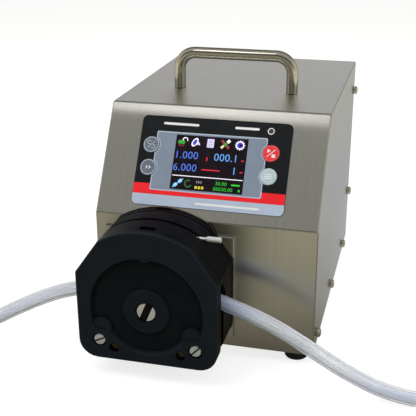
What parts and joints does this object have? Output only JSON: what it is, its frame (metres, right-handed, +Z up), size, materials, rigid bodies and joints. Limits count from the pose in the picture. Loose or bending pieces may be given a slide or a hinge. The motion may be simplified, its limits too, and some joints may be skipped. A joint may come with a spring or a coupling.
{
  "type": "peristaltic pump",
  "caption": "Bench peristaltic pump: steel drive case with sloping keypad and display, carry handle, and a front pump head with lever, rollers and soft tubing.",
  "frame": {"origin": "on the surface the feet stand on, under the middle of the pump without its free tubes", "axes": "+X to the right seen from the front, +Y from the pump head towards the back panel, +Z up"},
  "size_m": [0.518, 0.379, 0.2835],
  "materials": {
    "brushed_steel": "brushed stainless steel sheet, grain along the width",
    "bright_steel": "polished and turned steel",
    "black_rubber": "matt black rubber",
    "panel_film": "printed polyester film, fine texture",
    "display_glass": "glossy lens over a lit colour display",
    "circuit_board": "green solder resist",
    "key_grey_blue": "satin moulded key",
    "key_red": "satin moulded key",
    "key_pale_green": "satin moulded key",
    "lamp_lens": "dark lens with a pale ring",
    "black_plastic": "black engineering plastic, satin with worn edges",
    "carrier_plastic": "grey engineering plastic",
    "roller_nylon": "smooth white nylon",
    "gear_steel": "cut gear steel",
    "cast_alloy": "machined aluminium plate",
    "motor_case": "black paint on steel",
    "soft_tubing": "translucent silicone rubber",
    "black_moulding": "satin black moulding",
    "rocker_red": "glossy red moulding",
    "plated_shell": "tin-plated steel",
    "supply_metal": "folded aluminium sheet"
  },
  "bodies": {
    "case": {"casing_shell": "brushed_steel", "base_chassis": "brushed_steel", "carry_handle": "bright_steel", "handle_bolt_left": "bright_steel", "handle_bolt_right": "bright_steel", "foot_front_left": "black_rubber", "foot_front_right": "black_rubber", "foot_rear_left": "black_rubber", "foot_rear_right": "black_rubber", "cover_screw_left_1": "bright_steel", "cover_screw_left_2": "bright_steel", "cover_screw_left_3": "bright_steel", "cover_screw_left_4": "bright_steel", "cover_screw_left_5": "bright_steel", "cover_screw_right_1": "bright_steel", "cover_screw_right_2": "bright_steel", "cover_screw_right_3": "bright_steel", "cover_screw_right_4": "bright_steel", "cover_screw_right_5": "bright_steel", "keypad_overlay": "panel_film", "display_screen": "display_glass", "panel_board": "circuit_board", "status_lamp": "lamp_lens", "mounting_plate": "brushed_steel", "adapter_plate": "brushed_steel", "head_rear_flange": "black_plastic", "head_middle_body": "black_plastic", "head_front_cover": "black_plastic", "head_screw_left": "bright_steel", "head_screw_right": "bright_steel", "lever_pivot_pin": "bright_steel", "gearbox_frame": "cast_alloy", "drive_motor": "motor_case", "power_inlet": "black_moulding", "power_switch_housing": "black_moulding", "control_socket": "plated_shell", "power_supply": "supply_metal", "control_board": "circuit_board", "tube_in_head": "soft_tubing", "tube_left": "soft_tubing", "tube_right": "soft_tubing"},
    "rotor": {"rotor_carrier": "carrier_plastic", "rotor_shaft": "bright_steel", "drive_shaft": "bright_steel", "drive_gear": "gear_steel", "roller_pin_1": "bright_steel", "roller_pin_2": "bright_steel", "roller_pin_3": "bright_steel"},
    "roller_1": {"roller_1": "roller_nylon"},
    "roller_2": {"roller_2": "roller_nylon"},
    "roller_3": {"roller_3": "roller_nylon"},
    "motor_pinion": {"motor_pinion": "gear_steel"},
    "lever": {"lever_arm": "bright_steel", "lever_grip": "bright_steel"},
    "pressure_block": {"occlusion_block": "black_plastic"},
    "key_direction": {"key_direction": "key_grey_blue"},
    "key_fast": {"key_fast": "key_grey_blue"},
    "key_start_stop": {"key_start_stop": "key_red"},
    "key_mode": {"key_mode": "key_pale_green"},
    "power_rocker": {"power_rocker": "rocker_red"}
  },
  "joints": [
    {"name": "rotor_spin", "type": "hinge", "parent": "case", "child": "rotor", "pos_m": [-0.038, -0.156, 0.0755], "axis": [0, 1, 0], "continuous": true},
    {"name": "roller_1_spin", "type": "hinge", "parent": "rotor", "child": "roller_1", "pos_m": [-0.038, -0.156, 0.1052], "axis": [0, 1, 0], "continuous": true},
    {"name": "roller_2_spin", "type": "hinge", "parent": "rotor", "child": "roller_2", "pos_m": [-0.06372, -0.156, 0.06065], "axis": [0, 1, 0], "continuous": true},
    {"name": "roller_3_spin", "type": "hinge", "parent": "rotor", "child": "roller_3", "pos_m": [-0.01228, -0.156, 0.06065], "axis": [0, 1, 0], "continuous": true},
    {"name": "pinion_spin", "type": "hinge", "parent": "case", "child": "motor_pinion", "pos_m": [-0.038, -0.156, 0.10575], "axis": [0, 1, 0], "continuous": true},
    {"name": "lever_swing", "type": "hinge", "parent": "case", "child": "lever", "pos_m": [-0.038, -0.156, 0.1415], "axis": [0, -1, 0], "range_deg": [0, 176]},
    {"name": "block_lift", "type": "slide", "parent": "case", "child": "pressure_block", "axis": [0, 0, 1], "range_m": [0, 0.01]},
    {"name": "key_direction_press", "type": "slide", "parent": "case", "child": "key_direction", "axis": [0, 0.8416, -0.5401], "range_m": [0, 0.0004], "stiffness_N_per_m": 1500, "springref_m": -0.0002},
    {"name": "key_fast_press", "type": "slide", "parent": "case", "child": "key_fast", "axis": [0, 0.8416, -0.5401], "range_m": [0, 0.0004], "stiffness_N_per_m": 1500, "springref_m": -0.0002},
    {"name": "key_start_stop_press", "type": "slide", "parent": "case", "child": "key_start_stop", "axis": [0, 0.8416, -0.5401], "range_m": [0, 0.0004], "stiffness_N_per_m": 1500, "springref_m": -0.0002},
    {"name": "key_mode_press", "type": "slide", "parent": "case", "child": "key_mode", "axis": [0, 0.8416, -0.5401], "range_m": [0, 0.0004], "stiffness_N_per_m": 1500, "springref_m": -0.0002},
    {"name": "power_rocker_tilt", "type": "hinge", "parent": "case", "child": "power_rocker", "pos_m": [0.0255, 0.182, 0.065], "axis": [1, 0, 0], "range_deg": [0, 20]}
  ],
  "couplings": [
    {"joint": "roller_1_spin", "follows": "rotor_spin", "ratio": -3.97},
    {"joint": "roller_2_spin", "follows": "rotor_spin", "ratio": -3.97},
    {"joint": "roller_3_spin", "follows": "rotor_spin", "ratio": -3.97},
    {"joint": "pinion_spin", "follows": "rotor_spin", "ratio": -3},
    {"joint": "lever_swing", "follows": "block_lift", "rad_per_m": 307.17}
  ]
}
